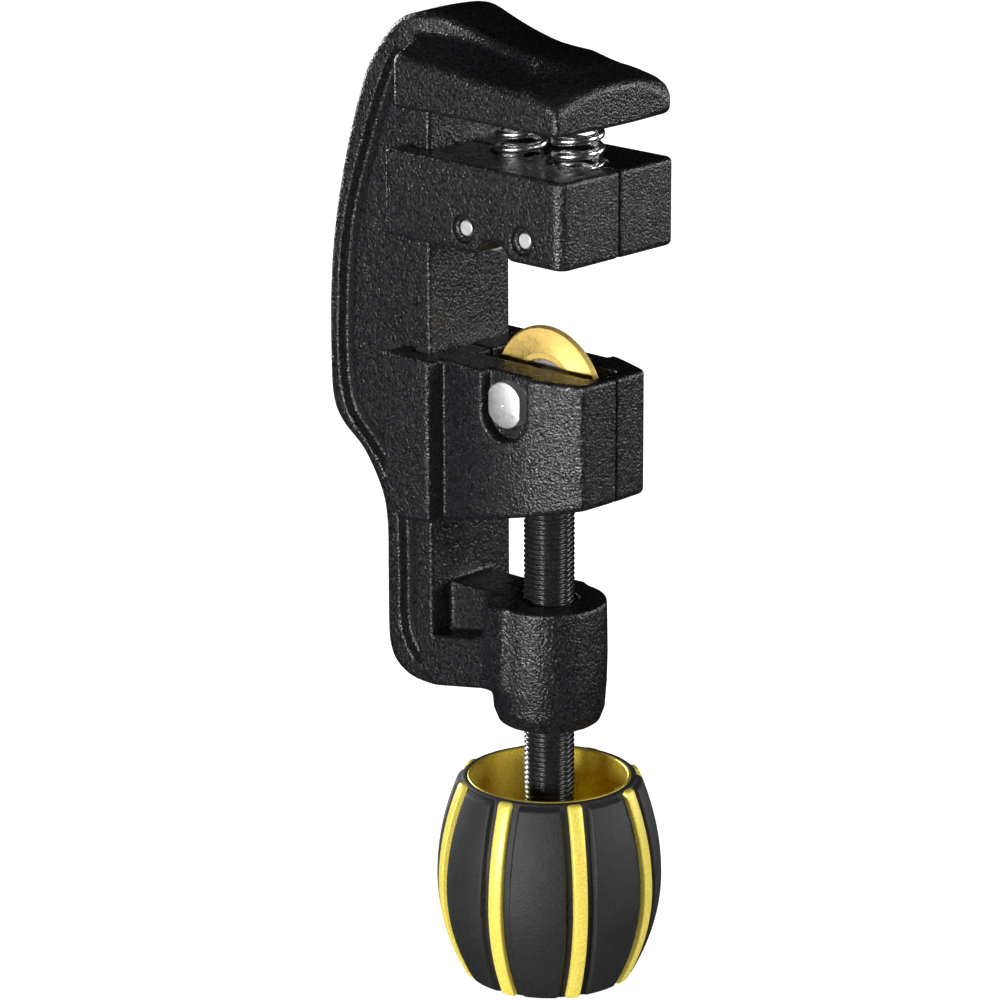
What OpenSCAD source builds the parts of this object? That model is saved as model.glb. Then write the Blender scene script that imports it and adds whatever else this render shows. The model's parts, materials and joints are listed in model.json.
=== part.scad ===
// Adjustable tubing cutter: C-frame with a T-rail, sprung roller block, screw-driven
// cutter carriage and barrel knob. Units are millimetres.
// The origin is the centre of the knob's flat base, on the feed screw's axis.
// +Z runs along the screw to the head, +X from the spine to the open front,
// and Y is the direction of the tube that is cut. The object is symmetric about Y = 0.

/* [Frame] */
// Height of the head's underside above the knob's base
head_z = 172; // [171:0.25:174]
// Width of the head, the roller block and the carriage's rear plates
body_w = 31.6; // [30.5:0.2:34]
// Width of the T-rail's flange
rail_w = 22.2; // [21.6:0.1:22.6]
// Width of the spine behind the T-rail
web_w = 19; // [18:0.1:19.4]
// Height of the boss's top face
boss_top = 77.4; // [76:0.2:78]

/* [Roller block] */
// Height of the block's lower face
block_z = 147.1; // [146.6:0.1:147.6]
// Height of the block itself
block_h = 16.75; // [16:0.05:17]
// Distance of each roller from the screw axis
roller_x = 7.45; // [7.2:0.05:7.8]
// Radius of each roller
roller_r = 5.6; // [5.2:0.1:5.8]
// Radius of the roller pins
pin_r = 1.75; // [1.5:0.05:1.9]

/* [Carriage] */
// Height of the carriage's top face
carriage_top = 124; // [123.5:0.1:125]
// Radius of the cutting wheel
wheel_r = 13.6; // [13:0.1:14]
// Thickness of the cutting wheel at its hub
wheel_t = 2.4; // [2:0.1:2.6]
// Height of the wheel's centre
wheel_z = 117.5; // [117.3:0.1:118]
// Radius of the wheel axle
axle_r = 4.4; // [4:0.1:4.6]

/* [Screw] */
// Outside diameter of the feed screw
screw_d = 9.84; // [9.4:0.02:10]

/* [Knob] */
// Height of the knob
knob_h = 41.1; // [39:0.1:42]
// Largest radius of the knob, at its waist
knob_r = 22.15; // [21:0.05:23]
// Radius of the cup in the knob's top
cup_r = 15.25; // [14.5:0.05:15.4]
// Number of ribs round the knob
ribs = 8; // [6:1:10]
// Width of each rib
rib_w = 2.7; // [2:0.1:3.4]

/* [Springs] */
// Outside radius of each spring
spring_r = 5.1; // [4.6:0.1:5.3]
// Radius of the spring wire
wire_r = 0.73; // [0.6:0.01:0.8]

/* [Hidden] */
$fn = 64;

screw_r = screw_d / 2;
half_w = body_w / 2;
rail_x = -20.6;
rail_back = -24.9;
play = 0.2;
lip_x = -27.2;
block_front = 17.8;
block_top = block_z + block_h;
spring_x = 7.2;
seat_r = 5.6;
seat_d = 3;
roller_z = block_z + 4.3;
roller_half = 8.2;
stop_z = 159;
slot_half = 4;
collar_r = 7;
collar_z = 99.4;
collar_h = 2.2;
ledge_z = 103.3;
cup_floor = 27;
grip_t = 3;
grip_drop = 0.3;
rib_root = 12;

// Point at t on a smooth curve from b to c, with a and d as its neighbours.
function blend(a, b, c, d, t) =
    0.5 * (2 * b + (c - a) * t + (2 * a - 5 * b + 4 * c - d) * t * t
    + (3 * b - 3 * c + d - a) * t * t * t);

// Smooth open curve through the points p, with n steps in each span.
function curve(p, n = 4) = concat(
    [for (i = [0 : len(p) - 2]) for (j = [0 : n - 1])
        blend(p[max(i - 1, 0)], p[i], p[i + 1], p[min(i + 2, len(p) - 1)], j / n)],
    [p[len(p) - 1]]);

// Back of the spine below its flat stretch, from the heel up the grip.
spine_low = [[-24, 57.2], [-30, 57.6], [-34, 61], [-35.5, 66], [-35.5, 78], [-35.6, 87],
             [-37, 93], [-41.5, 100], [-47.5, 104.8], [-49.8, 108], [-50.4, 111]];

// Back of the spine above its flat stretch, and the ridge that runs over the head.
spine_high = [[-50.4, 133], [-49, 145], [-46.4, 157], [-43.2, 168], [-39.2, 178],
              [-34.4, 184.2], [-30.4, 187.3], [-27, 188.8], [-23.5, 189.5], [-20, 189.3],
              [-15, 187.9], [-10, 186.4], [-5, 185.2], [0, 184.1], [5, 183.1], [10, 181.6]];

// Half of the ridge's width seen from above, from the spine to the nose.
ridge_line = [[-30.5, 9.6], [-26, 9.1], [-22, 8.3], [-18, 7.5], [-14, 7], [-10, 6.8],
              [-5, 6.6], [0, 6.5], [6, 6.2], [12, 5.5]];

// Top of the head along its middle plane, from the spine to the rounded nose.
head_top = [[-23.9, 189.3], [-12.5, 187.2], [0, 184.1], [5, 183.1], [10, 182.1],
            [14, 180.9], [16.2, 178.8], [17, 176]];

// Side of the head's flange, from its rear corner to the nose.
flange_top = [[-22.4, 181.8], [-15, 181.4], [-6, 180.4], [5, 179.4], [12, 178],
              [16.2, 175.8]];

// One side of the carriage's nose seen from above, from the rear plate to the front.
nose_side = [[-16.6, 11.7], [-12, 12.45], [-8, 12.9], [-4, 13.1], [0, 13.05], [4.5, 12.6],
             [8.5, 11.65], [12.2, 10.35], [15.2, 9.15], [16.4, 8], [16.9, 4.5], [17.3, 0]];

// Radius of the knob at height z: a barrel with its waist halfway up.
function barrel(z) = let (m = knob_h / 2, k = z < m ? 5.95 : 4.35)
    knob_r - k * pow((z - m) / m, 2);

// Outline of the barrel, set in by t, from height z0 to z1.
function barrel_line(z0, z1, t, n = 10) =
    [for (i = [0 : n]) let (z = z0 + (z1 - z0) * i / n) [barrel(z) - t, z]];

// Extrude an outline drawn in X and Z by w, centred on Y = 0.
module across(w) {
    rotate([90, 0, 0]) linear_extrude(w, center = true) children();
}

// Box given by its limits.
module box(x0, x1, y0, y1, z0, z1) {
    translate([x0, y0, z0]) cube([x1 - x0, y1 - y0, z1 - z0]);
}

// Rod along Y, centred on Y = 0.
module rod_y(r, w, x, z) {
    translate([x, 0, z]) rotate([90, 0, 0]) cylinder(h = w, r = r, center = true);
}

// Space that a block needs to slide on the T-rail, from height z0 to z1.
module rail_space(z0, z1) {
    rw = rail_w / 2 + play;
    ww = web_w / 2 + play;
    box(rail_back - play, rail_x + play, -rw, rw, z0, z1);
    box(lip_x - 2, rail_back, -ww, ww, z0, z1);
}

// Keep only the near half (side = -1) or the far half (side = 1).
module keep_half(side) {
    intersection() {
        children();
        translate([-40, side < 0 ? -40 : 0, 60]) cube([80, 40, 120]);
    }
}

// Space inside both halves of the carriage: wheel slot, screw bore, collar and axle.
module carriage_space() {
    box(-15, 14.3, -slot_half, slot_half, ledge_z, carriage_top + 1);
    translate([0, 0, 90]) cylinder(h = 20, r = screw_r + 0.08);
    translate([0, 0, collar_z - 0.1]) cylinder(h = collar_h + 0.2, r = collar_r + 0.3);
    double_d(60, axle_r);
    for (side = [-1, 1]) {
        axle_recess(side);
    }
    for (x = [-11, 13.2]) {
        rod_y(1.5, 12, x, x < 0 ? 98.5 : 101.5);
    }
}

// U-shaped recess round the axle's end, open at the top.
module axle_recess(side) {
    y = side < 0 ? -20 : 10.6;
    box(-5.3, 5.3, y, y + 9.4, wheel_z - 1.1, carriage_top + 1);
    translate([0, y, wheel_z - 1.1]) rotate([-90, 0, 0]) cylinder(h = 9.4, r = 5.3);
}

// Round bar along Y with two flats that face the front and the rear.
module double_d(w, r) {
    intersection() {
        rod_y(r, w, 0, wheel_z);
        box(-0.91 * r, 0.91 * r, -w, w, wheel_z - 10, wheel_z + 10);
    }
}

// Solid outside of the carriage before its spaces are cut.
module carriage_shell() {
    side = curve(nose_side, 3);
    far = [for (p = side) p];
    near = [for (i = [len(side) - 2 : -1 : 0]) [side[i][0], -side[i][1]]];
    intersection() {
        union() {
            translate([0, 0, 85]) linear_extrude(carriage_top - 85) polygon(concat(far, near));
            box(lip_x, -16.6, -half_w, half_w, 85, carriage_top);
        }
        across(60) polygon([[lip_x, carriage_top], [lip_x, 97], [-26.5, 94], [-24.6, 92.2],
                            [-21.8, 91.5], [-15.1, 92.2], [18.5, 100.2],
                            [18.5, carriage_top]]);
    }
}

// One half of the carriage.
module carriage_half(side) {
    keep_half(side) difference() {
        carriage_shell();
        rail_space(80, 130);
        carriage_space();
    }
}

// One half of the roller block.
module block_half(side) {
    keep_half(side) difference() {
        box(lip_x + 0.6, block_front, -half_w, half_w, block_z, block_top);
        rail_space(140, 170);
        box(-13.6, 13.6, -roller_half - 0.3, roller_half + 0.3, 140, 157.5);
        rod_y(4.4, 60, 0, block_z - 1.35);
        box(-21, -17, -1.8, 1.8, stop_z - 7.3, stop_z + 1.5);
        for (x = [-1, 1]) {
            translate([x * spring_x, 0, block_top - seat_d]) cylinder(h = 5, r = seat_r);
            rod_y(pin_r, 60, x * roller_x, roller_z);
            for (y = [-1, 1]) {
                translate([x * roller_x, y * half_w, roller_z]) rotate([90, 0, 0])
                    cylinder(h = 2, r = 2.55, center = true);
            }
            for (y = [-1, 1]) {
                corner_cut(y);
            }
        }
    }
}

// Cut that rounds one upright front corner of the roller block.
module corner_cut(side) {
    r = 2.4;
    translate([block_front - r, side * (half_w - r), 140]) difference() {
        translate([0, side < 0 ? -r - 1 : 0, 0]) cube([r + 1, r + 1, 30]);
        translate([0, 0, -1]) cylinder(h = 40, r = r);
    }
}

// Coil envelope of one spring, seated in the head and in the block.
module spring(x) {
    translate([x, 0, block_top - seat_d]) difference() {
        cylinder(h = head_z - block_top + 2 * seat_d, r = spring_r);
        translate([0, 0, -1]) cylinder(h = 40, r = spring_r - 2 * wire_r);
    }
}

// Roller with chamfered ends and a running bore.
module roller(x) {
    translate([x, 0, roller_z]) rotate([90, 0, 0]) rotate_extrude()
        polygon([[pin_r + 0.05, -roller_half], [roller_r - 0.6, -roller_half],
                 [roller_r, -roller_half + 0.6], [roller_r, roller_half - 0.6],
                 [roller_r - 0.6, roller_half], [pin_r + 0.05, roller_half]]);
}

// Pin that joins the block's halves and carries one roller.
module roller_pin(x) {
    rod_y(pin_r, body_w - 2, x, roller_z);
}

// Spacer ring beside the wheel.
module spacer(side) {
    y0 = side < 0 ? -slot_half : wheel_t / 2 + 0.15;
    h = slot_half - wheel_t / 2 - 0.15;
    translate([0, y0, wheel_z]) rotate([-90, 0, 0]) difference() {
        cylinder(h = h, r = 5.2);
        translate([0, 0, -1]) cylinder(h = h + 2, r = axle_r);
    }
}

// Rib of the knob, drawn on +X.
module rib() {
    rotate([90, 0, 0]) linear_extrude(rib_w, center = true)
        polygon(concat([[rib_root, 0.8]], barrel_line(0.8, knob_h - 0.7, 0),
                       [[cup_r + 0.6, knob_h - 0.7]]));
}

// All ribs of the knob.
module rib_ring() {
    for (i = [0 : ribs - 1]) {
        rotate([0, 0, -31 + i * 360 / ribs]) rib();
    }
}

// Cast frame: grooved spine, T-rail, hooked head, lower arm and screw boss.
module frame() {
    color("dimgray") difference() {
        union() {
            spine();
            across(rail_w) polygon([[rail_back, head_z + 1], [rail_back, 61], [-23.6, 58.4],
                                    [-21.4, 57.2], [0, 60.9], [0, boss_top], [-7, boss_top],
                                [-7.6, 70.8], [-9.4, 69.4], [rail_x, 67.5],
                                    [rail_x, head_z + 1]]);
            box(-21, -6, -5.7, 5.7, 60, boss_top);
            boss();
            head_flange();
            head_roof();
        }
        for (side = [-1, 1]) {
            back_groove(side);
        }
        translate([0, 0, 50]) cylinder(h = 30, r = screw_r + 0.7);
        translate([0, 0, 50]) cylinder(h = 21, r = 7);
        for (x = [-spring_x, spring_x]) {
            translate([x, 0, head_z - 1]) cylinder(h = seat_d + 1, r = seat_r);
        }
        translate([-28, 0, stop_z]) rotate([0, 90, 0]) cylinder(h = 10, r = 1.5);
    }
}

// Web of the spine with the ridge that narrows over the head.
module spine() {
    difference() {
        across(web_w) polygon(concat(curve(spine_low, 3), curve(spine_high, 3),
                                     [[10, head_z], [-22, head_z], [-22, 57.2]]));
        for (side = [-1, 1]) {
            translate([0, 0, 178]) linear_extrude(20)
                polygon(concat([for (p = ridge_line) [p[0], side * p[1]]],
                               [[12, side * 12], [-30.5, side * 12]]));
        }
    }
}

// Barrel-shaped boss that carries the threaded bush.
module boss() {
    rotate_extrude() polygon([[0, 52.6], [9.2, 52.6], [10.1, 53.3], [10.75, 55.3],
                              [11.2, 61], [11.3, 66.5], [11.15, 76.6], [10.5, boss_top],
                              [0, boss_top]]);
}

// Wide lower part of the head, over the roller block.
module head_flange() {
    across(body_w) polygon(concat([[-23, head_z], [-23.9, head_z + 1], [-23.9, 180.2]],
                                  curve(flange_top, 3),
                                  [[17, 174.6], [16.8, head_z + 0.6], [16.2, head_z]]));
}

// Sloping roof that joins the flange to the ridge of the spine.
module head_roof() {
    intersection() {
        translate([-20.5, 0, 181.8]) rotate([0, 5.2, 0]) rotate([90, 0, 90])
            translate([0, 0, -4]) linear_extrude(43)
            polygon([[-half_w, -6], [-half_w, 0], [-6.6, 2.9], [-3.5, 3.4], [3.5, 3.4],
                     [6.6, 2.9], [half_w, 0], [half_w, -6]]);
        across(body_w) polygon(concat([[-23.9, head_z + 0.5]], curve(head_top, 3),
                                      [[16.8, head_z + 0.5]]));
    }
}

// Unit vector square to the line p at its point i.
function side_way(p, i) =
    let (d = p[min(i + 1, len(p) - 1)] - p[max(i - 1, 0)]) [-d[1], d[0]] / norm(d);

// Groove that follows the back edge of the spine.
module back_groove(side) {
    line = [[-32.2, 180.5], [-36.2, 173], [-39.4, 163], [-42.4, 151], [-44.6, 139],
            [-45.8, 126], [-46, 113], [-43.8, 107.8], [-38.4, 103.8], [-33.8, 97.6],
            [-31.2, 90], [-30.8, 80], [-30.8, 67], [-28.4, 62.6]];
    n = len(line) - 1;
    ribbon = concat([for (i = [0 : n]) line[i] + 1.3 * side_way(line, i)],
                    [for (i = [n : -1 : 0]) line[i] - 1.3 * side_way(line, i)]);
    translate([0, side * web_w / 2, 0]) across(2.2) polygon(ribbon);
}

// Threaded bush pressed into the boss.
module thread_bush() {
    color("goldenrod") translate([0, 0, 54]) difference() {
        cylinder(h = 17, r = 7);
        translate([0, 0, -1]) cylinder(h = 19, r = screw_r + 0.05);
    }
}

// Dowel in the rail that stops the roller block's downward slide.
module stop_pin() {
    color("silver") translate([-28, 0, stop_z]) rotate([0, 90, 0])
        cylinder(h = 10.5, r = 1.5);
}

module front_spring() {
    color("silver") spring(spring_x);
}

module rear_spring() {
    color("silver") spring(-spring_x);
}

module roller_block_near() {
    color("slategray") block_half(-1);
}

module roller_block_far() {
    color("slategray") block_half(1);
}

module front_roller_pin() {
    color("white") roller_pin(roller_x);
}

module rear_roller_pin() {
    color("white") roller_pin(-roller_x);
}

module front_roller() {
    color("lightsteelblue") roller(roller_x);
}

module rear_roller() {
    color("lightsteelblue") roller(-roller_x);
}

module carriage_near() {
    color("darkslategray") carriage_half(-1);
}

module carriage_far() {
    color("darkslategray") carriage_half(1);
}

// Dowels that line up the carriage's halves below the wheel slot.
module carriage_dowels() {
    color("silver") union() {
        rod_y(1.5, 11.6, -11, 98.5);
        rod_y(1.5, 11.6, 13.2, 101.5);
    }
}

// Axle with a round middle for the wheel and flats where the carriage holds it.
module wheel_axle() {
    color("white") union() {
        rod_y(axle_r, 2 * slot_half, 0, wheel_z);
        double_d(25.4, axle_r);
    }
}

module near_spacer() {
    color("silver") spacer(-1);
}

module far_spacer() {
    color("silver") spacer(1);
}

// Cutting wheel with a bevelled edge and a bore for its bush.
module cutting_wheel() {
    color("gold") translate([0, 0, wheel_z]) rotate([90, 0, 0]) rotate_extrude()
        polygon([[7.3, -wheel_t / 2], [wheel_r - 1.4, -wheel_t / 2], [wheel_r, -0.12],
                 [wheel_r, 0.12], [wheel_r - 1.4, wheel_t / 2], [7.3, wheel_t / 2]]);
}

// Bush pressed into the wheel, which turns on the axle.
module wheel_bush() {
    color("lightsteelblue") translate([0, 0, wheel_z]) rotate([90, 0, 0]) difference() {
        cylinder(h = wheel_t, r = 7.3, center = true);
        cylinder(h = wheel_t + 2, r = axle_r + 0.06, center = true);
    }
}

// Feed screw, from the knob's hub to the carriage.
module feed_screw() {
    color("black") difference() {
        translate([0, 0, 4]) cylinder(h = 98.6, r = screw_r);
        rod_y(0.8, 30, 0, collar_z + collar_h / 2);
        rod_y(1.5, 60, 0, 15);
    }
}

// Collar on the screw's end that pushes and pulls the carriage.
module thrust_collar() {
    color("silver") translate([0, 0, collar_z]) difference() {
        cylinder(h = collar_h, r = collar_r);
        translate([0, 0, -1]) cylinder(h = collar_h + 2, r = screw_r);
        translate([0, 0, collar_h / 2]) rotate([90, 0, 0])
            cylinder(h = 30, r = 0.8, center = true);
    }
}

module collar_pin() {
    color("white") rod_y(0.8, 2 * collar_r - 0.4, 0, collar_z + collar_h / 2);
}

// Core of the knob: hub, cup and the ribs that show through the grip.
module knob_core() {
    color("gold") difference() {
        union() {
            rotate_extrude() polygon(concat([[0, 0]], barrel_line(0, knob_h - 0.4, grip_t),
                                            [[0, knob_h - 0.4]]));
            rib_ring();
        }
        translate([0, 0, cup_floor]) cylinder(h = 30, r = cup_r);
        translate([0, 0, 4]) cylinder(h = 40, r = screw_r);
        translate([0, 0, -1]) cylinder(h = 3.5, r = 9);
        rod_y(1.5, 24, 0, 15);
    }
}

// Soft grip moulded over the core, between its ribs.
module knob_grip() {
    color("dimgray") difference() {
        rotate_extrude() polygon(concat(
            barrel_line(0, knob_h - 0.4, grip_t),
            [[barrel(knob_h) - grip_t, knob_h], [barrel(knob_h) - 1.2, knob_h]],
            [for (i = [10 : -1 : 0]) barrel_line(0, knob_h - 0.9, grip_drop)[i]]));
        rib_ring();
    }
}

module knob_pin() {
    color("white") rod_y(1.5, 23.6, 0, 15);
}

// Cap flush with the knob's base.
module knob_cap() {
    color("dimgray") cylinder(h = 2.5, r = 9);
}

frame();
thread_bush();
stop_pin();
front_spring();
rear_spring();
roller_block_near();
roller_block_far();
front_roller_pin();
rear_roller_pin();
front_roller();
rear_roller();
carriage_near();
carriage_far();
carriage_dowels();
wheel_axle();
near_spacer();
far_spacer();
cutting_wheel();
wheel_bush();
feed_screw();
thrust_collar();
collar_pin();
knob_core();
knob_grip();
knob_pin();
knob_cap();
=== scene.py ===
"""Visual model of an adjustable tubing cutter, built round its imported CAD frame.

Lengths in this file are millimetres in the CAD frame (+Z up the feed screw, +X towards the
open throat, Y along the tube) until a mesh is written, which is in metres.
"""
import json
import math

import bpy
import numpy as np
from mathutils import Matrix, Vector

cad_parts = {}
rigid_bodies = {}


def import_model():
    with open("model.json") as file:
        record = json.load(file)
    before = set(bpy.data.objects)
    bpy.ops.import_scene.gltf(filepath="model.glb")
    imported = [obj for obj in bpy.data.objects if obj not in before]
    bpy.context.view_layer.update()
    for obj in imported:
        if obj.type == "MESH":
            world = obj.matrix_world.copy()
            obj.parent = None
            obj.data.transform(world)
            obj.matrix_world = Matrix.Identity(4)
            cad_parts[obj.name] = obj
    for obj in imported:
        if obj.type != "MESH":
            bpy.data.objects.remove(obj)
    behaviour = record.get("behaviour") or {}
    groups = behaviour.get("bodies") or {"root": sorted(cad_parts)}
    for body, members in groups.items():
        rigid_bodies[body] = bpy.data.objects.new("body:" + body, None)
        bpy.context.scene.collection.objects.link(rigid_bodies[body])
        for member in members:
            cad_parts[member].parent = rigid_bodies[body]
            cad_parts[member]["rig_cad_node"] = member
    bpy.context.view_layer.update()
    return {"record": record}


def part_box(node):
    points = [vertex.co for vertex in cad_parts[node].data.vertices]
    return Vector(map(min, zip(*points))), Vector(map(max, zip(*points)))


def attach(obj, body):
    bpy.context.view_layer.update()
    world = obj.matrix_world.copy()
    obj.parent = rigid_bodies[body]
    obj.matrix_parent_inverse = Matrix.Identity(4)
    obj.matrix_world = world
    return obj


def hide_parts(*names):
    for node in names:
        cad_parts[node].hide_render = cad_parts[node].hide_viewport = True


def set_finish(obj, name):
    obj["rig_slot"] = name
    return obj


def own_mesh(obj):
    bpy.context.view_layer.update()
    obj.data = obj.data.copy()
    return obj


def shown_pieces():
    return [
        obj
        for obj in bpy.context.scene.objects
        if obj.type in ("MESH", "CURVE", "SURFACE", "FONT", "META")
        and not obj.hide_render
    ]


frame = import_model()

MM = 0.001


# ---------------------------------------------------------------- sizes from the CAD
def cad_box(node):
    """Lowest and highest corner of a CAD node, in millimetres."""
    lo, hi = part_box(node)
    return np.array(lo) / MM, np.array(hi) / MM


FRAME_LO, FRAME_HI = cad_box("frame")
BLOCK_LO, BLOCK_HI = cad_box("roller_block_near")
CARR_LO, CARR_HI = cad_box("carriage_near")
WHEEL_LO, WHEEL_HI = cad_box("cutting_wheel")
SCREW_LO, SCREW_HI = cad_box("feed_screw")
KNOB_HI = cad_box("knob_grip")[1]
SPRING_LO, SPRING_HI = cad_box("front_spring")
ROLLER_LO, ROLLER_HI = cad_box("front_roller")
PIN_LO, PIN_HI = cad_box("front_roller_pin")

HALF_W = -BLOCK_LO[1]                      # half width of the head and the blocks
BLOCK_Z, BLOCK_TOP = BLOCK_LO[2], BLOCK_HI[2]
HEAD_Z = 172.0                             # the head's underside
CARR_TOP = CARR_HI[2]
WHEEL_R = (WHEEL_HI[0] - WHEEL_LO[0]) / 2
WHEEL_Z = (WHEEL_HI[2] + WHEEL_LO[2]) / 2
WHEEL_T = WHEEL_HI[1] - WHEEL_LO[1]
SCREW_R = (SCREW_HI[0] - SCREW_LO[0]) / 2
ROLLER_X = (ROLLER_HI[0] + ROLLER_LO[0]) / 2
ROLLER_Z = (ROLLER_HI[2] + ROLLER_LO[2]) / 2
ROLLER_R = (ROLLER_HI[2] - ROLLER_LO[2]) / 2
PIN_R = (PIN_HI[2] - PIN_LO[2]) / 2
SPRING_X = (SPRING_HI[0] + SPRING_LO[0]) / 2
KNOB_H = KNOB_HI[2]
WEB = 9.5                                  # half width of the spine
RAIL = 11.1                                # half width of the T-rail
RAIL_REAR, RAIL_FRONT = -24.9, -20.6       # where the T-rail begins and ends along X
RUNNING = 0.2                              # gap between the rail and what slides on it
BOSS_TOP = 77.4
SEAT_R = 5.6                               # radius of the spring seats
PITCH = 1.0                                # pitch of the feed screw's thread


# ---------------------------------------------------------------- distance functions
def curve(points, steps=6):
    """Smooth open curve through points, as a Catmull-Rom spline."""
    p = np.array(points, float)
    p = np.vstack([p[0], p, p[-1]])
    t = np.linspace(0, 1, steps, endpoint=False)[:, None]
    out = []
    for a, b, c, d in zip(p[:-3], p[1:-2], p[2:-1], p[3:]):
        out.append(0.5 * (2 * b + (c - a) * t + (2 * a - 5 * b + 4 * c - d) * t ** 2
                          + (3 * b - 3 * c + d - a) * t ** 3))
    return np.vstack(out + [p[-1:]])


def line_distance(u, v, points):
    """Distance from (u, v) to an open line through points."""
    best = np.full(np.broadcast(u, v).shape, 1e9)
    for (au, av), (bu, bv) in zip(points[:-1], points[1:]):
        eu, ev = bu - au, bv - av
        t = np.clip(((u - au) * eu + (v - av) * ev) / max(eu * eu + ev * ev, 1e-12), 0, 1)
        best = np.minimum(best, (u - au - t * eu) ** 2 + (v - av - t * ev) ** 2)
    return np.sqrt(best)


def outline(u, v, points):
    """Signed distance from (u, v) to a closed outline, negative inside."""
    points = np.asarray(points, float)
    d = line_distance(u, v, np.vstack([points, points[:1]]))
    inside = np.zeros(np.broadcast(u, v).shape, bool)
    for (au, av), (bu, bv) in zip(points, np.roll(points, -1, 0)):
        if av == bv:
            continue
        cross = ((av > v) != (bv > v)) & (u < (bu - au) * (v - av) / (bv - av) + au)
        inside ^= cross
    return np.where(inside, -d, d)


def both(a, b, r=0.0):
    """Intersection of two solids, with an outside edge of radius r."""
    if np.ndim(r) == 0 and r <= 0:
        return np.maximum(a, b)
    wa, wb = np.maximum(a + r, 0), np.maximum(b + r, 0)
    return np.minimum(np.maximum(a + r, b + r), 0) + np.sqrt(wa * wa + wb * wb) - r


def join(a, b, k=0.0):
    """Union of two solids, with a fillet of about k."""
    if np.ndim(k) == 0 and k <= 0:
        return np.minimum(a, b)
    h = np.maximum(k - np.abs(a - b), 0) / k
    return np.minimum(a, b) - h * h * k / 4


def cut(a, b, k=0.0):
    """Solid a without solid b, with the edge softened by about k."""
    if k <= 0:
        return np.maximum(a, -b)
    h = np.maximum(k - np.abs(a + b), 0) / k
    return np.maximum(a, -b) + h * h * k / 4


def box(x, y, z, lo, hi, r=0.0):
    """Box between two corners, with edges of radius r."""
    dx = np.maximum(lo[0] - x, x - hi[0])
    dy = np.maximum(lo[1] - y, y - hi[1])
    dz = np.maximum(lo[2] - z, z - hi[2])
    return both(both(dx, dy, r), dz, r)


def rod(x, z, cx, cz, r):
    """Endless rod along Y."""
    return np.hypot(x - cx, z - cz) - r


def rod_z(x, y, cx, cy, r):
    """Endless rod along Z."""
    return np.hypot(x - cx, y - cy) - r


def smooth_step(a, b, v):
    u = np.clip((v - a) / (b - a), 0, 1)
    return u * u * (3 - 2 * u)


# ---------------------------------------------------------------- meshes
def new_object(name, verts, faces):
    """Smooth-shaded object from vertices in millimetres and faces."""
    mesh = bpy.data.meshes.new(name)
    verts = np.asarray(verts, np.float64) * MM
    if isinstance(faces, np.ndarray):
        n = faces.shape[1]
        mesh.vertices.add(len(verts))
        mesh.vertices.foreach_set("co", verts.ravel())
        mesh.loops.add(faces.size)
        mesh.loops.foreach_set("vertex_index", faces.ravel().astype(np.int32))
        mesh.polygons.add(len(faces))
        mesh.polygons.foreach_set("loop_start", np.arange(0, faces.size, n, dtype=np.int32))
        mesh.polygons.foreach_set("loop_total", np.full(len(faces), n, np.int32))
        mesh.update(calc_edges=True)
    else:
        mesh.from_pydata(verts.tolist(), [], faces)
    mesh.validate()
    mesh.polygons.foreach_set("use_smooth", np.ones(len(mesh.polygons), bool))
    obj = bpy.data.objects.new(name, mesh)
    bpy.context.scene.collection.objects.link(obj)
    return obj


def surface(name, solid, lo, hi, step):
    """Closed mesh of the zero level of solid(x, y, z), by dual contouring on a grid."""
    lo, hi = np.array(lo, float), np.array(hi, float)
    n = np.ceil((hi - lo) / step).astype(int) + 1
    axes = [lo[i] + step * np.arange(n[i]) for i in range(3)]
    grid = solid(axes[0][:, None, None], axes[1][None, :, None], axes[2][None, None, :])
    grid = np.ascontiguousarray(np.broadcast_to(grid, n), np.float32)
    inside = grid < 0
    corners = [(i, j, k) for i in (0, 1) for j in (0, 1) for k in (0, 1)]
    count = np.zeros(n - 1, np.int8)
    for i, j, k in corners:
        count += inside[i:n[0] - 1 + i, j:n[1] - 1 + j, k:n[2] - 1 + k]
    active = (count > 0) & (count < 8)
    index = np.full(n - 1, -1, np.int32)
    index[active] = np.arange(active.sum())
    ci, cj, ck = np.nonzero(active)
    total = np.zeros((len(ci), 3))
    crossings = np.zeros(len(ci))
    for a in corners:
        for axis in range(3):
            if a[axis]:
                continue
            b = tuple(1 if m == axis else a[m] for m in range(3))
            va = grid[ci + a[0], cj + a[1], ck + a[2]].astype(float)
            vb = grid[ci + b[0], cj + b[1], ck + b[2]].astype(float)
            hit = (va < 0) != (vb < 0)
            t = np.where(hit, va / np.where(hit, va - vb, 1), 0)
            for m in range(3):
                total[:, m] += hit * (a[m] + (t if m == axis else 0))
            crossings += hit
    verts = lo + step * (np.stack([ci, cj, ck], 1) + total / crossings[:, None])
    quads = []
    for axis in range(3):
        u, w = [m for m in range(3) if m != axis]
        first = [slice(None)] * 3
        second = [slice(None)] * 3
        first[axis], second[axis] = slice(0, -1), slice(1, None)
        for m in (u, w):
            first[m] = second[m] = slice(1, -1)
        a, b = inside[tuple(first)], inside[tuple(second)]
        hit = np.nonzero(a != b)
        cell = [h.copy() for h in hit]
        cell[u] += 1
        cell[w] += 1

        def at(du, dw):
            c = list(cell)
            c[u] = c[u] - du
            c[w] = c[w] - dw
            return index[c[0], c[1], c[2]]

        quad = np.stack([at(1, 1), at(0, 1), at(0, 0), at(1, 0)], 1)
        flip = a[hit] if axis != 1 else ~a[hit]
        quad[~flip] = quad[~flip][:, ::-1]
        quads.append(quad)
    quads = np.vstack(quads)
    for _ in range(2):
        verts = settle(verts, solid, step)
    return new_object(name, verts, quads)


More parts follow.
